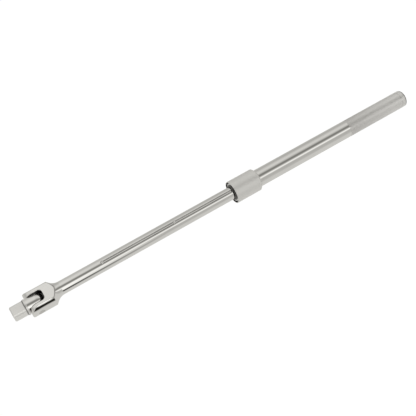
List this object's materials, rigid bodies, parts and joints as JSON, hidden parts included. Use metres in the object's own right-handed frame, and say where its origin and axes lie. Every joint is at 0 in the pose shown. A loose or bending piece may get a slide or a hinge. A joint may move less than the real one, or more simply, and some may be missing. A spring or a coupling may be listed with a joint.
{
  "type": "breaker bar",
  "caption": "Telescopic breaker bar: a chromed bar with a swinging square drive head slides and locks inside a tube with a collar and knurled grip.",
  "frame": {"origin": "centre of the drive square's tip face, with the bar extended and the drive in line with it", "axes": "+X along the bar towards the handle's end; +Y along the pivot pin; +Z square to the fork's milled flats, on the side of the lock groove"},
  "size_m": [0.4875, 0.0256, 0.025],
  "materials": {
    "satin_steel": "satin matt chrome over a forged square and knuckle",
    "chrome_bar": "polished chrome plating",
    "chrome_tube": "polished chrome plating with a fine knurled grip",
    "collar_chrome": "turned, softly polished chrome",
    "cap_chrome": "polished chrome with a rounded rim",
    "pin_steel": "ground and plated steel",
    "ring_steel": "zinc plated spring steel",
    "spring_steel": "drawn spring wire",
    "bearing_steel": "polished hardened steel"
  },
  "bodies": {
    "handle": {"outer_tube": "chrome_tube", "end_cap": "cap_chrome", "front_ring": "ring_steel", "seat_ring": "ring_steel", "spring_washer": "ring_steel", "collar_spring": "spring_steel"},
    "collar": {"locking_collar": "collar_chrome"},
    "ball_lock": {"lock_ball": "bearing_steel"},
    "bar": {"inner_bar": "chrome_bar", "pivot_pin": "pin_steel", "friction_plunger": "bearing_steel", "plunger_spring": "spring_steel"},
    "drive": {"drive_head": "satin_steel", "retainer_spring": "spring_steel"},
    "socket_ball": {"retainer_ball": "bearing_steel"}
  },
  "joints": [
    {"name": "extend", "type": "slide", "parent": "handle", "child": "bar", "axis": [1, 0, 0], "range_m": [0, 0.168]},
    {"name": "head_pivot", "type": "hinge", "parent": "bar", "child": "drive", "pos_m": [0.0258, 0, 0], "axis": [0, 1, 0], "range_deg": [-90, 90]},
    {"name": "collar_slide", "type": "slide", "parent": "handle", "child": "collar", "axis": [1, 0, 0], "range_m": [-0.004, 0], "deforming": ["collar_spring"]},
    {"name": "ball_lift", "type": "slide", "parent": "handle", "child": "ball_lock", "axis": [0, -0.1219, 0.9925], "range_m": [0, 0.00075]},
    {"name": "ball_press", "type": "slide", "parent": "drive", "child": "socket_ball", "axis": [0, -1, 0], "range_m": [0, 0.0009], "deforming": ["retainer_spring"]}
  ],
  "couplings": [
    {"joint": "ball_lift", "follows": "collar_slide", "ratio": -0.1875}
  ]
}
